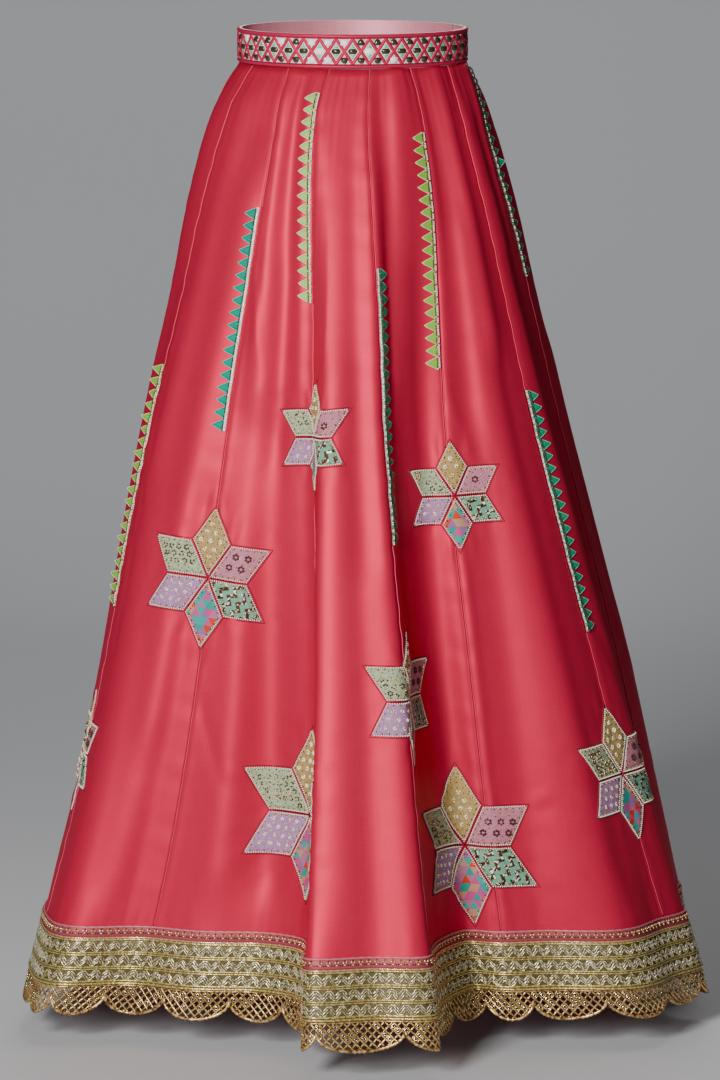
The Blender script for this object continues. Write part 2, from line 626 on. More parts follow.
# The pressed edge of each seam, a shade lighter, catches the light as a thin line
SEAM_EDGE = silk("pressed_seam_edge", "#DA4A64", "#CC3C56", "#FF9CAE")
LINING_SILK = silk("rose_cotton_lining", "#D9909C", "#C67C8A", "#E9B0B8")
TOOTH_SILKS = {
    "lime": silk("lime_silk", "#84B646", "#6CA036", "#A4CC74", 0.6, 0.1),
    "light_lime": silk("light_lime_silk", "#A0CA68", "#8CBA58", "#BCDC90", 0.6, 0.1),
    "teal": silk("teal_silk", "#008F78", "#007A64", "#20C0A4", 0.6, 0.1),
    "mint": silk("mint_silk", "#16A87C", "#088864", "#50CCA8", 0.6, 0.1),
}
# Zari lines beside the teeth: gilt on the limes, silver on the teal and mint
TRIM_THREADS = {
    "lime": thread_work("gilt_zari_line", "#E6D6A4", "#5E4422", 0.35, 0.35),
    "light_lime": thread_work("pale_gilt_zari_line", "#EADFB4", "#5E4422", 0.35, 0.35),
    "teal": thread_work("silver_zari_line", "#ECEADC", "#A8845C", 0.3, 0.32),
    "mint": thread_work("mint_silver_zari_line", "#88B89C", "#3A4A38", 0.3, 0.38),
}
# The rolled edges of the teeth catch the light, so their thread is paler than the cloth
TOOTH_EDGES = {
    "lime": plain_finish("cream_edge_thread", "#E8E2A8", 0.5),
    "light_lime": plain_finish("pale_cream_edge_thread", "#F0EBC4", 0.5),
    "teal": plain_finish("pale_teal_edge_thread", "#4CC8B4", 0.6),
    "mint": plain_finish("pale_mint_edge_thread", "#7CDCBE", 0.6),
}
STITCH_THREAD = plain_finish("deep_raspberry_stitch_thread", "#8A1028", 0.7)
WHITE_BEADS = plain_finish("white_cut_glass_beads", "#FFFDF6", 0.22)
SILVER_BEADS = plain_finish("silver_lined_seed_beads", "#FFF8E6", 0.22)
GOLD_BEADS = plain_finish("gilt_seed_beads", "#EBCF8E", 0.25, 0.6)
BRONZE_BEADS = plain_finish("bronze_seed_beads", "#4E2A12", 0.35, 0.35)
# Cloths of a star's petals, clockwise from the top; the sizes are a motif's spacing across and
# down (m) and a dot's radius as a share of it
PETAL_CLOTHS = (
    petal_cloth("beige_brocade", "#B2955C", "#947844", "#5A3A18", "dots", 0.4, (0.0060, 0.0056, 0.10)),
    petal_cloth("dusty_pink_buti_silk", "#BC7A88", "#A66474", "#6A2C24", "dots", 0.4, (0.0070, 0.0066, 0.08)),
    petal_cloth("sea_green_zigzag_silk", "#74A68C", "#5A8A72", "#4A2A16", "zigzag", 0.6,
                (0.0110, 0.0120, 0.0)),
    patchwork_cloth(),
    petal_cloth("lilac_dotted_silk", "#AA7EA2", "#946A8E", "#DCC8C8", "dots", 0.3, (0.0060, 0.0060, 0.09)),
    petal_cloth("mint_gold_silk", "#A8B492", "#869476", "#7A5420", "dots", 0.5, (0.0048, 0.0048, 0.14)),
)
# Raised butis of each patch, clockwise from the top: spacing, radius of the ring of beads, radius
# of a bead, and finish (0 gilt, 1 bronze, 2 silver)
BUTIS = (
    (0.0110, 0.0017, 0.00150, 2),
    (0.0140, 0.0027, 0.00175, 1),
    None,
    None,
    (0.0105, 0.0014, 0.00115, 2),
    (0.0086, 0.0022, 0.00130, 0),
)
BORDER_GROUND = thread_work("antique_gold_tissue", "#6A5A2A", "#3A3012", 0.4, 0.5)
BORDER_THREAD = thread_work("silver_gilt_thread", "#FBF3D4", "#8E7C44", 0.5, 0.25, 0.0034)
BORDER_CORD = thread_work("gilt_cord", "#E6D48C", "#8E7634", 0.6, 0.30, 0.0022)
NET_THREAD = thread_work("gilt_net_thread", "#E8C27E", "#6A421C", 0.6, 0.28, 0.0036)
SEQUIN = plain_finish("gilt_sequin", "#F2E3B6", 0.16, 1.0)
ROSE_RIBBON = silk("rose_ribbon", "#A4505A", "#8A4042", "#E79AA0")
ROSE_EDGE = silk("pale_rose_edge_cord", "#D07A84", "#BC6470", "#F2B4BA")
ROSE_GOLD_BEADS = plain_finish("rose_gilt_beads", "#F0C490", 0.2, 0.6)
RED_THREAD = plain_finish("dark_red_thread", "#8E1B36", 0.6)
BAND_CLOTH = thread_work("silver_rose_embroidery", "#F8F0F8", "#BFA2C0", 0.1, 0.36, 0.0016)
BAND_PINK = silk("raised_coral_cord", "#C92C4C", "#B4203E", "#FF8A9A")
BAND_EDGE = plain_finish("lilac_edge_thread", "#F2E8F4", 0.45)
BAND_MINT = silk("mint_diamond_fill", "#6FCFA8", "#4CB48C", "#B2ECD8")
BAND_IVORY = thread_work("ivory_diamond_fill", "#FAF6EA", "#DCD2BC", 0.05, 0.4)
MIRROR_DARK = plain_finish("tinted_shisha_mirror", "#4A442E", 0.15, 0.4, 0.02, 0.00005)
MIRROR_BRIGHT = plain_finish("bright_shisha_mirror", "#FFFFFA", 0.30, 0.0, 0.02, 0.00005)
PIPING_PINK = silk("raspberry_piping", "#C23050", "#AC2040", "#FF9CA4")


def grid_faces(rows, columns, closed=False):
    """Quads between a grid's points, row by row, joined round the end where it is closed."""
    r, c = np.meshgrid(np.arange(rows - 1), np.arange(columns if closed else columns - 1), indexing="ij")
    a, b = r * columns + c, r * columns + (c + 1) % columns
    return np.stack([a, b, b + columns, a + columns], -1).reshape(-1, 4)


def wall_parts(outer, inner, flat, numbers, closed=False):
    """Two skins of cloth and the rim between them."""
    rows, columns = outer.shape[:2]
    count = rows * columns
    front = grid_faces(rows, columns, closed)[:, ::-1]
    back = grid_faces(rows, columns, closed) + count
    spans = np.arange(columns if closed else columns - 1)
    rims = []
    for r, turned in ((0, False), (rows - 1, True)):
        a, b = r * columns + spans, r * columns + (spans + 1) % columns
        rim = np.stack([a, b, b + count, a + count], -1)
        rims.append(rim[:, ::-1] if turned else rim)
    if not closed:
        for c, turned in ((0, True), (columns - 1, False)):
            a = np.arange(rows - 1) * columns + c
            rim = np.stack([a, a + columns, a + columns + count, a + count], -1)
            rims.append(rim if turned else rim[:, ::-1])
    points = np.concatenate([outer.reshape(-1, 3), inner.reshape(-1, 3)])
    both = np.concatenate([flat.reshape(-1, 2)] * 2)
    # The inner skin is a part without points of its own, so its faces count back to the first part's
    inner_part = (np.zeros((0, 3)), back - len(points), np.zeros((0, 2)), numbers[1])
    return [(points, np.concatenate([front] + rims), both, numbers[0]), inner_part]


def tube_part(path, up, radius, number, sides=5, closed=False, flatten=1.0):
    """A thread, cord or stroke that follows a path; radius may change along it."""
    if closed:
        ahead = np.roll(path, -1, 0) - np.roll(path, 1, 0)
    else:
        ahead = np.gradient(path, axis=0)
    ahead = ahead / np.linalg.norm(ahead, axis=-1, keepdims=True)
    beside = np.cross(ahead, up)
    beside = beside / np.linalg.norm(beside, axis=-1, keepdims=True)
    over = np.cross(beside, ahead)
    radius = np.broadcast_to(radius, (len(path),))[:, None, None]
    turn = np.arange(sides) * 2 * math.pi / sides
    ring = beside[:, None] * np.cos(turn)[None, :, None]
    ring = ring + over[:, None] * np.sin(turn)[None, :, None] * flatten
    points = path[:, None] + ring * radius
    rows = len(path)
    if closed:
        points = np.concatenate([points, points[:1]])
        rows += 1
    run = np.concatenate([[0], np.cumsum(np.linalg.norm(np.diff(points[:, 0], axis=0), axis=1))])
    flat = np.stack([np.broadcast_to(turn * 0.001, (rows, sides)), np.repeat(run[:, None], sides, 1)], -1)
    faces = grid_faces(rows, sides, closed=True)
    return points.reshape(-1, 3), faces, flat.reshape(-1, 2), number


OCTAHEDRON = np.array([(1, 0, 0), (0, 1, 0), (-1, 0, 0), (0, -1, 0), (0, 0, 1), (0, 0, -1)], float)
OCTAHEDRON_FACES = np.array([(0, 1, 4), (1, 2, 4), (2, 3, 4), (3, 0, 4),
                             (1, 0, 5), (2, 1, 5), (3, 2, 5), (0, 3, 5)])


def beads_part(places, radius, number):
    """Small beads at the given places."""
    points = places[:, None] + OCTAHEDRON[None] * np.broadcast_to(radius, (len(places),))[:, None, None]
    faces = OCTAHEDRON_FACES[None] + np.arange(len(places))[:, None, None] * len(OCTAHEDRON)
    flat = np.repeat(places[:, :2], len(OCTAHEDRON), 0)
    return points.reshape(-1, 3), faces.reshape(-1, 3), flat, number


def make_piece(name, parts, materials, nodes):
    """One object of the skirt from its parts, standing for its CAD nodes."""
    points = np.concatenate([part[0] for part in parts])
    flat = np.concatenate([part[2] for part in parts])
    faces, numbers, start = [], [], 0
    for part_points, part_faces, _, number in parts:
        faces += (part_faces + start).tolist()
        numbers += [number] * len(part_faces)
        start += len(part_points)
    mesh = bpy.data.meshes.new(name)
    mesh.from_pydata(points.tolist(), [], faces)
    for material in materials:
        mesh.materials.append(material)
    mesh.polygons.foreach_set("material_index", numbers)
    mesh.shade_smooth()
    corner = np.empty(len(mesh.loops), int)
    mesh.loops.foreach_get("vertex_index", corner)
    mesh.uv_layers.new(name="flat").uv.foreach_set("vector", flat[corner].astype(np.float32).ravel())
    piece = bpy.data.objects.new(name, mesh)
    bpy.context.scene.collection.objects.link(piece)
    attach(piece, "root")
    if nodes:
        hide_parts(*nodes)
    return piece


def make_kali(index):
    """One flared silk panel between two seams, lined inside."""
    # Columns stand closer together beside the seams
    share = (1 - np.cos(np.linspace(0, math.pi, KALI_COLUMNS))) / 2
    share = 0.55 * share + 0.45 * np.linspace(0, 1, KALI_COLUMNS)
    drop = np.linspace(SEAM_GAP, CLOTH_LENGTH, KALI_ROWS)
    g = index + share[None, :] + 0 * drop[:, None]
    half_gap = SEAM_GAP / 2 / kali_width(drop)
    g[:, 0] += half_gap
    g[:, -1] -= half_gap
    drop = np.repeat(drop[:, None], len(share), 1)
    outer = dressed_point(g, drop)
    inner = outer - cloth_normal(g, drop) * CLOTH_WALL
    flat = np.stack([(g - index - 0.5) * kali_width(drop) + index * 0.31, drop * CLOTH_RUN], -1)
    parts = wall_parts(outer, inner, flat, (0, 1))
    # The pressed edge runs down the kali's first side, just past the seam, above and below the trim
    _, trim_top, teeth, _, _ = TRIMS[index]
    trim_foot = drop_from(index, trim_top, teeth * TOOTH_PITCH)
    for edge_top, edge_foot in ((0.001, trim_top - 0.001), (trim_foot + 0.001, ROSE_TRIM[0] - 0.002)):
        edge_drop = np.linspace(edge_top, edge_foot, EDGE_POINTS)
        edge_g = gore_position(index, 0.0010, edge_drop)
        edge = dressed_point(edge_g, edge_drop, 0.0004)
        parts.append(tube_part(edge, cloth_normal(edge_g, edge_drop), 0.0006, 2, 5))
    piece = make_piece(f"silk_kali_{index + 1:02d}", parts, (RASPBERRY_SILK, LINING_SILK, SEAM_EDGE),
                       [f"kali_{index + 1:02d}"])
    return piece


# Places in the lists of a star's and a trim's bead finishes
GILT, BRONZE, SILVER, STITCHES = range(4)


def star_butis(petal, radius, inset, chance):
    """Places of the butis on one petal, as distances across and down from the star's centre."""
    spacing, ring, bead_radius, _ = BUTIS[petal]
    side = radius / math.sqrt(3)
    reach = int(radius / spacing) + 1
    across, along = np.meshgrid(np.arange(-reach, reach + 1), np.arange(0, 2 * reach), indexing="ij")
    sideways = (across + 0.5 * (along % 2)) * spacing + chance.uniform(-0.15, 0.15) * spacing
    outward = (along + 0.5) * spacing * 0.80
    out_share, side_share = outward / math.cos(math.radians(30)), sideways / math.sin(math.radians(30))
    share_i = (out_share - side_share) / side / 2
    share_j = (out_share + side_share) / side / 2
    margin = 3.6 * inset + (0.5 * ring + bead_radius) / side
    held = (np.minimum(share_i, share_j) > margin) & (np.maximum(share_i, share_j) < 1 - margin)
    sideways, outward = sideways[held], outward[held]
    petals_round = np.arange(6) * math.pi / 3
    sideways = (sideways[:, None] + ring * np.sin(petals_round)).ravel()
    outward = (outward[:, None] + ring * np.cos(petals_round)).ravel()
    sine, cosine = math.sin(math.radians(60 * petal)), math.cos(math.radians(60 * petal))
    return sideways * cosine + outward * sine, sideways * sine - outward * cosine


def make_star(number, row):
    """Six brocade diamonds, each stitched down round its edge with a double line of beads."""
    seam, offset, centre, radius, lean = row
    side = radius / math.sqrt(3)
    inset = 0.0016 / (side * math.sin(math.radians(60)))
    steps = np.concatenate([[inset], np.linspace(inset * 1.6, 1 - inset * 1.6, 9), [1 - inset]])
    i, j = np.meshgrid(steps, steps, indexing="ij")
    dome = np.clip(1 - (2 * i - 1) ** 2, 0, 1) * np.clip(1 - (2 * j - 1) ** 2, 0, 1)
    chance = np.random.default_rng(SEED + number)
    parts, bead_parts = [], []

    def on_cloth(across, down, lift):
        return along_seam(seam, centre, offset + across, down + lean * across, lift)

    def on_petal(petal, share_i, share_j, lift):
        start, end = math.radians(60 * petal - 30), math.radians(60 * petal + 30)
        across = side * (share_i * math.sin(start) + share_j * math.sin(end))
        down = -side * (share_i * math.cos(start) + share_j * math.cos(end))
        return on_cloth(across, down, lift)

    for petal in range(6):
        ripple = 0.00022 * np.sin(i * 19 + petal) * np.sin(j * 17 + number)
        lift = 0.0006 + 0.0013 * dome ** 0.6 + ripple * (dome > 0.1)
        lift[[0, -1], :] = -0.0002
        lift[:, [0, -1]] = -0.0002
        shift = chance.uniform(0, 0.05, 2)
        flat = np.stack([(i - j) * side * 0.5 + shift[0], (i + j) * side * 0.866 + shift[1]], -1)
        points = on_petal(petal, i, j, lift)
        parts.append((points.reshape(-1, 3), grid_faces(*i.shape), flat.reshape(-1, 2), petal))
        # A dark stitched line presses the silk down round the petal
        corner = np.linspace(0, 4, 41)
        outline_i = np.interp(corner, range(5), (0.0, 1.0, 1.0, 0.0, 0.0))
        outline_j = np.interp(corner, range(5), (0.0, 0.0, 1.0, 1.0, 0.0))
        stitches = on_petal(petal, outline_i, outline_j, 0.0002)
        facing = cloth_normal(np.full(len(corner), float(seam)), centre)
        bead_parts.append(tube_part(stitches, facing, 0.0006, STITCHES, 4))
        # The outer line is of silver beads, the inner one of gilt beads with every third one bronze
        for row_inset, row_lift, bead_radius, outer in ((1.25, 0.0012, 0.0011, True),
                                                        (2.5, 0.0014, 0.0009, False)):
            edge = inset * row_inset
            count = round(side * (1 - 2 * edge) / 0.0024)
            run = np.linspace(edge, 1 - edge, count, endpoint=False)
            near, far = np.full(count, edge), np.full(count, 1 - edge)
            row_i = np.concatenate([run, far, run[::-1], near])
            row_j = np.concatenate([near, run, far, run[::-1]])
            places = on_petal(petal, row_i, row_j, row_lift)
            if outer:
                bead_parts.append(beads_part(places, bead_radius, SILVER))
                continue
            dark_ones = np.arange(len(places)) % 3 == 1
            bead_parts.append(beads_part(places[~dark_ones], bead_radius, GILT))
            bead_parts.append(beads_part(places[dark_ones], bead_radius, BRONZE))
        if BUTIS[petal]:
            across, down = star_butis(petal, radius, inset, chance)
            if len(across):
                _, _, bead_radius, finish = BUTIS[petal]
                places = on_cloth(across, down, 0.0018)
                dull = chance.uniform(size=len(across)) < 0.45
                bead_parts.append(beads_part(places[~dull], bead_radius, finish))
                bead_parts.append(beads_part(places[dull], bead_radius, GILT if finish == SILVER else BRONZE))
    outline = make_piece(f"star_bead_work_{number:02d}", bead_parts,
                         (GOLD_BEADS, BRONZE_BEADS, SILVER_BEADS, STITCH_THREAD), [])
    name, node = f"patchwork_star_{number:02d}", f"star_{number:02d}"
    piece = make_piece(name, parts, PETAL_CLOTHS, [node])
    return piece


def make_trim(row):
    """Saw-tooth trim beside a seam: folded silk points and a laid zari line with beads."""
    seam, top, teeth, side, cloth = row
    length = teeth * TOOTH_PITCH
    parts, bead_parts = [], []

    def on_cloth(across, down, lift):
        return along_seam(seam, top, side * across, down, lift)

    # Each tooth is a grid that narrows to its tip, with a fold line from the middle to the tip
    out, across = np.meshgrid(np.linspace(0, 1, 7), np.linspace(-1, 1, 9), indexing="ij")
    faces = grid_faces(*out.shape)
    for tooth in range(teeth):
        middle = (tooth + 0.5) * TOOTH_PITCH
        uneven = 1 + 0.06 * math.sin(tooth * 2.3 + seam)
        half = TOOTH_PITCH * 0.47 * (1 - out) + 0.0003
        x = SEAM_OFFSET + TRIM_LINE * 0.7 + out * (TOOTH_LENGTH * uneven + TRIM_LINE * 0.3)
        down = middle + across * half
        stand = TIP_STANDS.get(seam, 0.0006) * (1 + 0.25 * math.sin(tooth * 1.9 + 0.6))
        if (seam, tooth) == FLICKED_TOOTH:
            stand = FLICK
        lift = 0.0007 + 0.0011 * (1 - np.abs(across)) ** 0.7 * (1 - out * 0.6)
        lift[:, [0, -1]] = -0.0001
        lift[-1] = 0.0001
        points = on_cloth(x, down, lift + stand * out)
        flat = np.stack([x + tooth * 0.017, down], -1)
        parts.append((points.reshape(-1, 3), faces if side < 0 else faces[:, ::-1], flat.reshape(-1, 2), 0))
        # The folded edge runs from the line to the tip and back, a shade lighter than the cloth
        edge_x, edge_down, edge_out = (np.concatenate([grid[:, 0], grid[::-1, -1][1:]])
                                       for grid in (x, down, out))
        path = on_cloth(edge_x, edge_down, 0.0007 + stand * edge_out)
        up = cloth_normal(float(seam), drop_from(seam, top, edge_down))
        bead_parts.append(tube_part(path, up, 0.00045, 2, 4))
    # The laid line, with a flat top and rolled sides
    lanes = np.array([0.0, 0.12, 0.35, 0.65, 0.88, 1.0])
    lifts = np.array([-0.0001, 0.0009, 0.0013, 0.0013, 0.0009, -0.0001])
    down, lane = np.meshgrid(np.linspace(0, length, teeth * 4 + 1), lanes, indexing="ij")
    x = SEAM_OFFSET + TRIM_LINE * lane
    points = on_cloth(x, down, lifts)
    flat = np.stack([x, down], -1)
    faces = grid_faces(*x.shape)
    parts.append((points.reshape(-1, 3), faces if side > 0 else faces[:, ::-1], flat.reshape(-1, 2), 1))
    # White beads fill the line's seam side, bronze ones its tooth side; the mint trims are mostly
    # dark. Beads are left out where a sine is over the last value.
    white_left_out = 0.2 if cloth == "mint" else 0.86
    second = {"mint": 1, "teal": 0}.get(cloth, 3)
    for lane, pitch, radius, lift, number, left_out in ((0.12, 0.0019, 0.00115, 0.0014, 0, white_left_out),
                                                        (0.44, 0.0021, 0.00095, 0.0014, second, 0.86),
                                                        (0.80, 0.0015, 0.00085, 0.0021, 1, 0.95)):
        down = np.arange(0.0012, length, pitch) + lane * 0.001
        places = on_cloth(SEAM_OFFSET + TRIM_LINE * lane, down, lift)
        missing = np.sin(down * 911 + seam) > left_out
        bead_parts.append(beads_part(places[~missing], radius, number))
    finishes = (WHITE_BEADS, BRONZE_BEADS, TOOTH_EDGES[cloth], GOLD_BEADS)
    bead_line = make_piece(f"trim_bead_line_{seam + 1:02d}", bead_parts, finishes, [])
    name, node = f"saw_tooth_trim_{seam + 1:02d}", f"seam_trim_{seam + 1:02d}"
    piece = make_piece(name, parts, (TOOTH_SILKS[cloth], TRIM_THREADS[cloth]), [node])
    return piece


def hem_part(levels, lifts, number, top_drop):
    """A ribbon all round the hem, from levels below a drop and lifts over the cloth."""
    g = np.arange(GORES * 36) / 36
    drop, g = np.meshgrid(top_drop + np.array(levels), g, indexing="ij")
    points = dressed_point(g, drop, np.array(lifts)[:, None])
    flat = np.stack([g * HEM_ROUND / GORES, drop], -1)
    faces = grid_faces(*g.shape, closed=True)[:, ::-1]
    return points.reshape(-1, 3), faces, flat.reshape(-1, 2), number


def every_second(count, swell):
    """Thickness along a cord that is a little more at every second ring, as in a row of beads."""
    return 1 + swell * (np.arange(count) % 2 * 2 - 1)


def hem_cord(drop, lift, radius, number, step=0.0035, sides=5, swell=0.0):
    """A cord all round the hem; swell makes every second ring thicker, as beads do."""
    count = 2 * round(HEM_ROUND / step / 2)
    g = at_hem(np.arange(count) * HEM_ROUND / count)
    path = dressed_point(g, drop, lift)
    return tube_part(path, cloth_normal(g, drop), radius * every_second(count, swell), number, sides,
                     closed=True)


def make_rose_trim():
    """Dusty rose ribbon with paired gilt bead blobs, couched above a dark red line."""
    top, foot = ROSE_TRIM
    tall = foot - top
    levels = np.array([0.0, 0.0003, 0.0025, 0.5 * tall, tall - 0.0025, tall - 0.0003, tall])
    parts = [hem_part(levels, (-0.0002, 0.0008, 0.0014, 0.0016, 0.0014, 0.0008, 0.0004), 0, top)]
    bead_parts = [hem_cord(top + 0.0012, 0.0012, 0.0013, 3, step=0.005, swell=0.2),
                  hem_cord(foot - 0.0018, 0.0014, 0.0008, 1),
                  hem_cord(foot - 0.0006, 0.0016, 0.0009, 0, swell=0.25)]
    count = round(HEM_ROUND / 0.0089)
    middle = np.arange(count) * HEM_ROUND / count
    # Each cluster is an arrow of two gold leaves with bronze below and between them
    for sideways, down, radius, number in ((-0.0017, 0.0052, 0.00175, 0), (0.0017, 0.0052, 0.00175, 0),
                                           (0.0, 0.0078, 0.0017, 0), (0.0, 0.0034, 0.0010, 2),
                                           (-0.0032, 0.0080, 0.0011, 2), (0.0032, 0.0080, 0.0011, 2)):
        g = at_hem(middle + sideways)
        places = dressed_point(g, top + down, 0.0018)
        bead_parts.append(beads_part(places, radius, number))
    materials = (ROSE_GOLD_BEADS, RED_THREAD, BRONZE_BEADS, ROSE_EDGE)
    beads = make_piece("rose_ribbon_beads", bead_parts, materials, [])
    piece = make_piece("rose_bead_ribbon", parts, (ROSE_RIBBON,), ["rose_trim"])
    return piece


def make_gold_border(lace):
    """Gold tissue border: three bands of nested zigzag thread between beaded cords."""
    top, foot = GOLD_BORDER
    tall = foot - top
    levels = np.array([0.0, 0.0003, 0.010, 0.020, 0.030, 0.040, tall - 0.002, tall - 0.0004, tall])
    lifts = (0.0004, 0.0010, 0.0010, 0.0010, 0.0010, 0.0010, 0.0010, 0.0009, -0.0004)
    parts = [hem_part(levels, lifts, 0, top)]
    raised = []
    for down, radius in ((0.0016, 0.0013), (0.0153, 0.0010), (0.0176, 0.0010), (0.0310, 0.0010),
                         (0.0333, 0.0010), (0.0466, 0.0012), (0.0495, 0.0014)):
        raised.append(hem_cord(top + down, 0.0014, radius, 0, swell=0.22, step=0.0028))
    zigzags = round(HEM_ROUND / 0.0135)
    place = np.arange(zigzags * 8) / 8
    swing = np.tile([0.0, 0.25, 0.5, 0.75, 1.0, 0.75, 0.5, 0.25], zigzags)
    # Each arm of a zigzag is a row of two long beads, thin at the turns
    thickness = np.tile([0.35, 1.15, 0.55, 1.15], 2 * zigzags) * 0.0010
    chance = np.random.default_rng(SEED + 90)
    for band_top in (0.0036, 0.0194, 0.0352):
        for nested in (-0.0034, 0.0, 0.0034):
            uneven = chance.uniform(-0.0006, 0.0006, len(place))
            down = np.clip(0.0052 + nested + uneven + (swing - 0.5) * 0.0078, 0.0003, 0.0101)
            g = at_hem(place * HEM_ROUND / zigzags)
            level = top + band_top + down
            path = dressed_point(g, level, 0.0013)
            raised.append(tube_part(path, cloth_normal(g, level), thickness, 1, 4, closed=True, flatten=0.9))
    threads = make_piece("border_raised_threads", raised, (BORDER_CORD, BORDER_THREAD), [])
    piece = make_piece("gold_zigzag_border", parts, (BORDER_GROUND,), ["gold_border"])
    return piece


def scallop_depth(g):
    """How deep the lace hangs below the cloth's edge at a gore position."""
    across = 2 * (((g - SCALLOP_PHASE) * SCALLOPS / GORES) % 1) - 1
    return LACE_NOTCH + (LACE_DEPTH - LACE_NOTCH) * np.sqrt(np.clip(1 - across**2, 0, 1))


def lace_point(g, down, lift=0.0):
    """Point of the lace, hanging in line with the cloth above it."""
    top = dressed_point(g, CLOTH_LENGTH)
    fall = top - cloth_point(g, CLOTH_LENGTH - 0.05)
    fall = fall / np.linalg.norm(fall, axis=-1, keepdims=True)
    return top + fall * down[..., None] + cloth_normal(g, CLOTH_LENGTH) * (lift - 0.0009)


def make_lace():
    """Scalloped net: slanted beaded strands with open diamonds, ring sequins and a beaded edge."""
    parts = []
    strands = round(SCALLOPS * 7.5)
    pitch = HEM_ROUND / strands
    step = 0.0014
    lean = 0.95
    chance = np.random.default_rng(SEED)
    slant = np.arange(0, LACE_DEPTH + step, step)
    for direction in (-1, 1):
        for strand in range(strands):
            g = at_hem(strand * pitch + direction * slant * lean)
            inside = slant < scallop_depth(g) - 0.0008
            edges = np.flatnonzero(np.diff(np.concatenate([[0], inside, [0]])))
            for first, last in zip(edges[::2], edges[1::2]):
                if last - first < 2:
                    continue
                run = slice(first, last)
                path = lace_point(g[run], slant[run] + 0.0002, 0.0004 * direction)
                up = cloth_normal(g[run], CLOTH_LENGTH)
                parts.append(tube_part(path, up, 0.00118 * every_second(last - first, 0.22), 0, 4))
    # The edge cord follows the scallops, with a bead at every second ring
    count = SCALLOPS * 44
    g = SCALLOP_PHASE + np.arange(count) * GORES / count
    path = lace_point(g, scallop_depth(g))
    parts.append(tube_part(path, cloth_normal(g, CLOTH_LENGTH), 0.0017 * every_second(count, 0.22), 0, 6,
                           closed=True))
    parts.append(hem_cord(CLOTH_LENGTH, 0.0, 0.0012, 0))
    # Ring sequins on some crossings
    turn = np.arange(8) * math.pi / 4
    for place in range(strands * 4):
        row = place // strands
        distance = (place % strands + 0.5 * (row % 2)) * pitch
        down = (row + 1) * pitch / 2 / lean
        g = at_hem(np.array([distance]))
        if down > scallop_depth(g)[0] - 0.004 or chance.uniform() > 0.45:
            continue
        middle = lace_point(g, np.array([down]), 0.0014)[0]
        up = cloth_normal(g, CLOTH_LENGTH)[0]
        beside = np.cross(up, (0, 0, 1.0))
        beside /= np.linalg.norm(beside)
        over = np.cross(beside, up)
        ring = middle + 0.0017 * (np.cos(turn)[:, None] * beside + np.sin(turn)[:, None] * over)
        parts.append(tube_part(ring, np.tile(up, (8, 1)), 0.0008, 1, 4, closed=True))
    return make_piece("scalloped_net_lace", parts, (NET_THREAD, SEQUIN), ["scalloped_lace"])


# Outline of a mirror between the rhombi, a triangle with rounded corners that points to the band's edge
MIRROR_OUTLINE = ((0.0036, -0.0030), (0.0041, -0.0016), (0.0026, 0.0022), (0.0011, 0.0037), (-0.0011, 0.0037),
                  (-0.0026, 0.0022), (-0.0041, -0.0016), (-0.0036, -0.0030))
# Outline of the mirror in the middle of a diamond
HEXAGON_MIRROR = ((-0.0050, -0.0012), (-0.0036, -0.0031), (0.0036, -0.0031), (0.0050, -0.0012),
                  (0.0050, 0.0012), (0.0036, 0.0031), (-0.0036, 0.0031), (-0.0050, 0.0012))


def domed_patch(corners, lift, number, tilt=(0.0, 0.0)):
    """A small flat shape on the band, domed by its middle point, as a rim part and a top part."""
    corners = np.array(corners)
    centre = corners.mean(0)
    ring = on_band(corners[:, 0], corners[:, 1], 0.0001)
    inner_corners = centre + (corners - centre) * 0.86
    rise = lift + (inner_corners - centre) @ np.array(tilt)
    inside = on_band(inner_corners[:, 0], inner_corners[:, 1], rise)
    middle_point = on_band(centre[:1], centre[1:], lift)
    count = len(corners)
    points = np.concatenate([ring, inside, middle_point])
    a, b = np.arange(count), (np.arange(count) + 1) % count
    sides = np.stack([a, b, b + count, a + count], -1)
    tops = np.stack([a + count, b + count, np.full(count, 2 * count)], -1)
    flat = np.concatenate([corners, inner_corners, centre[None]])
    # The tops are a part without points of its own, so their faces count back to the rim's
    return [(points, sides, flat, number), (np.zeros((0, 3)), tops - len(points), np.zeros((0, 2)), number)]


# Places in the waistband's list of finishes
PIPED, COUCHED, PINK, LILAC, IVORY, MINT, DARK_MIRROR, BRIGHT_MIRROR = range(8)


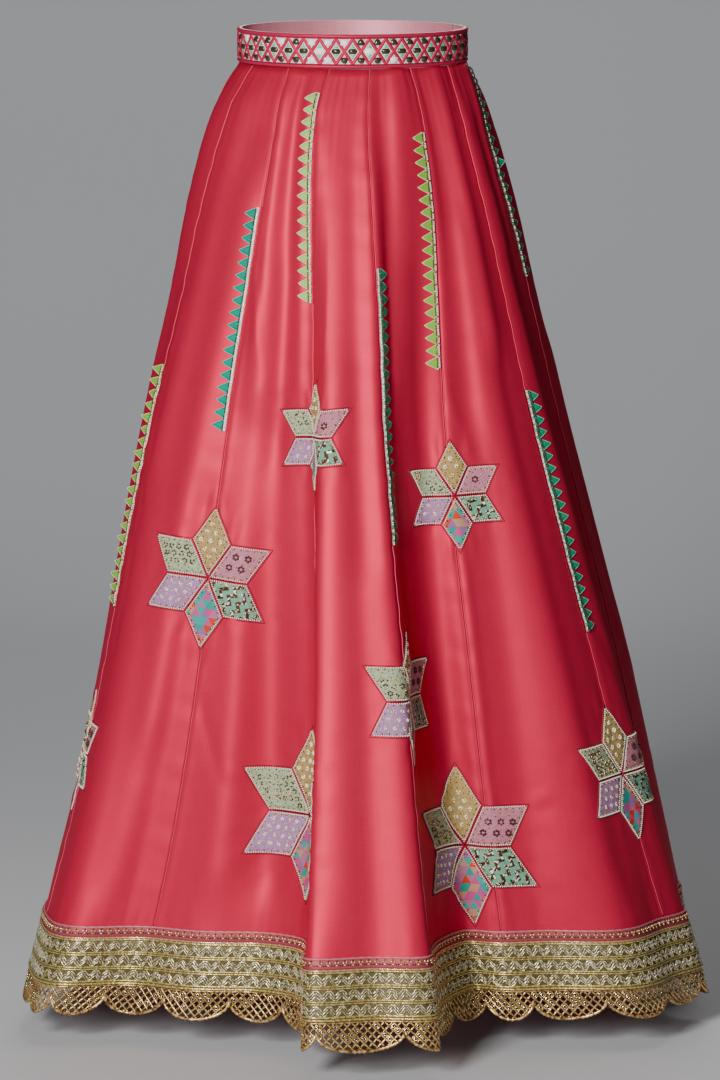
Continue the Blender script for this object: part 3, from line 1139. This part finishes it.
def make_waistband():
    """Mirror-work band: raised pink lattice, mint and ivory diamonds, small mirrors, piped edges."""
    half = BAND_HEIGHT / 2
    roll = PIPING / 2
    heights = [half, half - 0.0007, half - roll, half - PIPING + 0.0006, half - PIPING]
    lifts = [0.0, 0.0010, 0.0016, 0.0010, 0.0002]
    profile = np.array(list(zip(heights, lifts)) + [(0.008, 0.0002), (0.0, 0.0002), (-0.008, 0.0002)]
                       + [(-h, t) for h, t in zip(heights[::-1], lifts[::-1])])
    distance = np.linspace(0.0002, BAND_ROUND - 0.0002, 241)
    across, level = np.meshgrid(distance, profile[:, 0])
    outer = on_band(across, level, profile[:, 1:])
    inner = on_band(across, level, -BAND_WALL)
    band_parts = wall_parts(outer, inner, np.stack([across, level], -1), (0, 1))
    parts = []
    # Rolled piping on its own cloth, with a dark thread couched along its inner side
    for middle, lift, radius, number, sides in ((half - roll, 0.0004, 0.0021, PIPED, 8),
                                                (roll - half, 0.0004, 0.0019, PIPED, 8),
                                                (half - PIPING - 0.0004, 0.0008, 0.0005, COUCHED, 5),
                                                (PIPING - half + 0.0004, 0.0008, 0.0005, COUCHED, 5)):
        path = on_band(distance, middle, lift)
        parts.append(tube_part(path, path * (1, 1, 0), radius, number, sides))
    diamonds = 39
    pitch = BAND_ROUND / diamonds
    reach = half - PIPING - 0.0008
    # The lattice: slanted strokes both ways, pink with a lilac thread on each side
    line = np.linspace(-1, 1, 7)
    strokes = ((0.0, 0.0021, PINK), (-0.0029, 0.0006, LILAC), (0.0029, 0.0006, LILAC))
    for direction in (-1, 1):
        for place in np.arange(-1, diamonds + 1):
            for sideways, radius, number in strokes:
                along = (place + 0.5 + line * 0.5) * pitch + sideways
                keep = (along > 0.0004) & (along < BAND_ROUND - 0.0004)
                if keep.sum() < 3:
                    continue
                path = on_band(along[keep], direction * line[keep] * reach, 0.0008)
                parts.append(tube_part(path, path * (1, 1, 0), radius, number, 5, flatten=0.7))
    chance = np.random.default_rng(SEED + 50)
    for place in range(diamonds):
        # Mirrors turned towards the window side of the front shine, the others stay dark
        bearing = np.interp(place * pitch, BAND_RUN, BAND_BEARINGS)
        shine = 0.15 + 0.75 * math.exp(-(((bearing + 16 + 180) % 360 - 180) / 11) ** 2)
        x = place * pitch
        if 0 < place:
            corners = [(x - 0.0052, 0), (x, -0.0092), (x + 0.0052, 0), (x, 0.0092)]
            parts += domed_patch(corners, 0.0009, IVORY)
            for sign in (-1, 1):
                corners = [(x, sign * 0.0088), (x - 0.0033 * sign, sign * 0.0032),
                           (x + 0.0033 * sign, sign * 0.0032)]
                parts += domed_patch(corners, 0.0013, MINT)
            corners = [(x + a, b) for a, b in HEXAGON_MIRROR]
            finish = BRIGHT_MIRROR if chance.uniform() < shine * 0.6 else DARK_MIRROR
            parts += domed_patch(corners, 0.0020, finish, chance.uniform(-0.06, 0.06, 2))
        between = x + pitch / 2
        for sign in (-1, 1):
            corners = [(between + 1.15 * a * sign, sign * (0.0092 + b)) for a, b in MIRROR_OUTLINE]
            finish = BRIGHT_MIRROR if chance.uniform() < shine else DARK_MIRROR
            parts += domed_patch(corners, 0.0019, finish, chance.uniform(-0.07, 0.07, 2))
    materials = (PIPING_PINK, RED_THREAD, BAND_PINK, BAND_EDGE, BAND_IVORY, BAND_MINT, MIRROR_DARK,
                 MIRROR_BRIGHT)
    work = make_piece("waistband_mirror_work", parts, materials, [])
    piece = make_piece("embroidered_waistband", band_parts, (BAND_CLOTH, LINING_SILK), ["waistband"])
    return piece


def make_lap():
    """Tab of the band's cloth over its join, edge stitched."""
    bearing = CLOSING_BEARING + np.linspace(-10.4, 5.6, 25)
    heights = np.linspace(BAND_HEIGHT / 2 - PIPING - SEAM_GAP, PIPING + SEAM_GAP - BAND_HEIGHT / 2, 13)
    bearing, height = np.meshgrid(bearing, heights)
    dome = 0.0003 * np.sin(np.linspace(0, math.pi, 13))[:, None]
    outer = band_point(bearing, height, 0.0024 + dome)
    inner = band_point(bearing, height, 0.0009)
    flat = np.stack([np.radians(bearing) * 0.1, height], -1)
    parts = wall_parts(outer, inner, flat, (0, 0))
    piece = make_piece("band_lap", parts, (RASPBERRY_SILK,), ["waistband_lap"])
    return piece


def make_placket():
    """Narrow folded strip that covers the side opening."""
    levels, sideways = np.meshgrid(np.linspace(PLACKET[0], PLACKET[1], 45),
                                   np.linspace(-PLACKET_WIDTH / 2, PLACKET_WIDTH / 2, 9), indexing="ij")
    g = gore_position(CLOSING_SEAM, sideways.ravel(), levels.ravel()).reshape(levels.shape)
    # The folded edges of the strip lie lower than its middle
    lift = np.full(levels.shape[1], 0.0019)
    lift[[0, -1]] = 0.0009
    outer = dressed_point(g, levels, lift)
    inner = dressed_point(g, levels, 0.0004)
    parts = wall_parts(outer, inner, np.stack([sideways, levels], -1), (0, 0))
    piece = make_piece("placket_strip", parts, (RASPBERRY_SILK,), ["side_placket"])
    return piece


def make_studio():
    """Pale floor with a low curved card behind the skirt, and soft lights.

    The card is only as wide and high as the photo's frame, so the skirt is seen from every side.
    """
    floor, foot, bend_radius = -1.062, 3.0, 1.5
    bend = np.radians(np.linspace(0, 72, 13))
    # A flat run before the bend, its edge sunk under the floor, lets the card meet the floor unseen
    card = [(2.2, floor - 0.002)]
    card += [(foot + bend_radius * math.sin(a), floor + bend_radius * (1 - math.cos(a))) for a in bend]
    plane_points = [(x, y, floor) for y in (-14.0, 14.0) for x in (-14.0, 14.0)]
    card_points = [(x, y, z + 0.0004) for y, z in card for x in (-1.2, 1.2)]
    points = np.array(plane_points + card_points)
    faces = np.concatenate([grid_faces(2, 2)[:, ::-1], grid_faces(len(card), 2)[:, ::-1] + 4])
    material, tree, shader, _ = start_material("painted_studio_sweep", roughness=0.9)
    place = add(tree, "TexCoord", {})
    sockets = {"Vector": place.outputs["Object"], "Scale": 0.7, "Detail": 2.0}
    cloud = add(tree, "TexNoise", sockets).outputs["Fac"]
    tree.links.new(blend(tree, cloud, "#BDBEC0", "#CBCCCE"), shader.inputs["Base Color"])
    mesh = bpy.data.meshes.new("studio_sweep")
    mesh.from_pydata(points.tolist(), [], faces.tolist())
    mesh.materials.append(material)
    mesh.shade_smooth()
    sweep = bpy.data.objects.new("studio_sweep", mesh)
    bpy.context.scene.collection.objects.link(sweep)
    # Each light's name, place, size and power
    lights = (("key_softbox", (-1.6, -4.65, 1.15), 1.2, 375.0),
              ("fill_softbox", (2.4, -5.0, 0.2), 1.8, 8.0),
              ("top_softbox", (0.4, 0.9, 3.4), 2.4, 34.0),
              ("rear_softbox", (0.6, 5.6, 2.2), 2.0, 45.0))
    for name, place, size, power in lights:
        lamp = bpy.data.lights.new(name, "AREA")
        lamp.size = size
        lamp.energy = power
        holder = bpy.data.objects.new(name, lamp)
        holder.location = place
        holder.rotation_mode = "QUATERNION"
        holder.rotation_quaternion = (Vector((0.0, 0.0, -0.5)) - Vector(place)).to_track_quat("-Z", "Y")
        bpy.context.scene.collection.objects.link(holder)
    world = bpy.data.worlds.new("soft_studio")
    world.use_nodes = True
    world.node_tree.nodes["Background"].inputs["Color"].default_value = linear("#B9BCC4")
    world.node_tree.nodes["Background"].inputs["Strength"].default_value = 0.045
    bpy.context.scene.world = world


def make_camera():
    """Camera at the photograph's place and angle."""
    camera = bpy.data.objects.new("photo_camera", bpy.data.cameras.new("photo_camera"))
    camera.data.lens = LENS_MM
    camera.data.sensor_width = 36
    camera.location = CAMERA_PLACE
    camera.rotation_euler = (math.radians(90 - CAMERA_PITCH_DOWN), 0, 0)
    bpy.context.scene.collection.objects.link(camera)
    bpy.context.scene.camera = camera


make_camera()
make_studio()
make_waistband()
make_lap()
make_placket()
for panel in range(GORES):
    make_kali(panel)
for trim_row in TRIMS:
    make_trim(trim_row)
for star_number, star_row in enumerate(STARS, 1):
    make_star(star_number, star_row)
make_rose_trim()
make_gold_border(make_lace())
